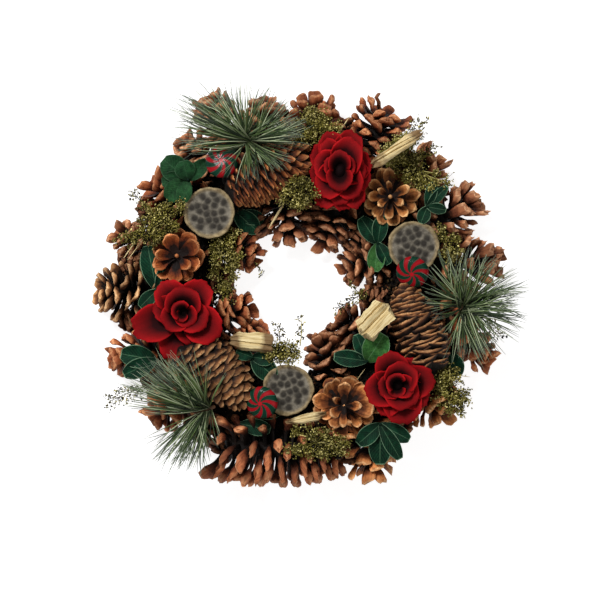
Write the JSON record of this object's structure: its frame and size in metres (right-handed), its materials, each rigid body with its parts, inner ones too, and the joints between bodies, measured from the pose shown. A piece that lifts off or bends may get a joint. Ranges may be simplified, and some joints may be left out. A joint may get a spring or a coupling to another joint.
{
  "type": "pinecone wreath",
  "caption": "Round wreath on a twisted vine ring, covered with open and closed pine cones, roses of wood shaving, lotus pods, sweets, leaves, moss and needle tufts.",
  "frame": {"origin": "on the surface that the wreath lies on, under the middle of its bounding box", "axes": "+Z out of the wreath's face, +Y towards its top at 12 o'clock, +X towards 3 o'clock"},
  "size_m": [0.3538, 0.3406, 0.1091],
  "materials": {
    "vine": "rough bark",
    "cone": "dry cone scales",
    "cone_pale": "dry pale cone scales",
    "cone_golden": "dry golden cone scales",
    "rose": "dyed wood shaving, matt",
    "pod": "dried pod, matt",
    "sweet": "red and green swirl, glazed",
    "chip": "split pale wood",
    "leaf": "waxed cloth leaf",
    "moss": "dried moss",
    "needle": "moulded needles"
  },
  "bodies": {
    "root": {"chip_01": "chip", "chip_0340": "chip", "chip_06": "chip", "chip_0740": "chip", "cone_closed_0330": "cone_pale", "cone_closed_0730": "cone_pale", "cone_closed_1130": "cone_pale", "cone_hole_02": "cone", "cone_hole_04": "cone", "cone_hole_0830": "cone", "cone_hole_10": "cone", "cone_hole_12": "cone", "cone_large_open": "cone", "cone_rim_01": "cone", "cone_rim_0130": "cone", "cone_rim_0230": "cone", "cone_rim_0330": "cone", "cone_rim_0430": "cone", "cone_rim_0515": "cone", "cone_rim_0730": "cone", "cone_rim_0830": "cone", "cone_rim_09": "cone", "cone_rim_0930": "cone", "cone_rim_10": "cone", "cone_rim_11": "cone", "cone_rim_1120": "cone", "cone_rim_12": "cone", "cone_rosette_0130": "cone_golden", "cone_rosette_05": "cone_golden", "cone_rosette_0930": "cone", "leaves_0150": "leaf", "leaves_02": "leaf", "leaves_04": "leaf", "leaves_05": "leaf", "leaves_07": "leaf", "leaves_0830": "leaf", "leaves_0930": "leaf", "leaves_10": "leaf", "lotus_pod_0215": "pod", "lotus_pod_06": "pod", "lotus_pod_1030": "pod", "moss_0130": "moss", "moss_0230": "moss", "moss_0430": "moss", "moss_0530": "moss", "moss_0630": "moss", "moss_0930": "moss", "moss_09_inner": "moss", "moss_12": "moss", "moss_12_inner": "moss", "needles_03": "needle", "needles_0730": "needle", "needles_1130": "needle", "ring_base": "vine", "rose_0430": "rose", "rose_0840": "rose", "rose_1240": "rose", "sweet_0240": "sweet", "sweet_0620": "sweet", "sweet_11": "sweet"}
  },
  "joints": []
}
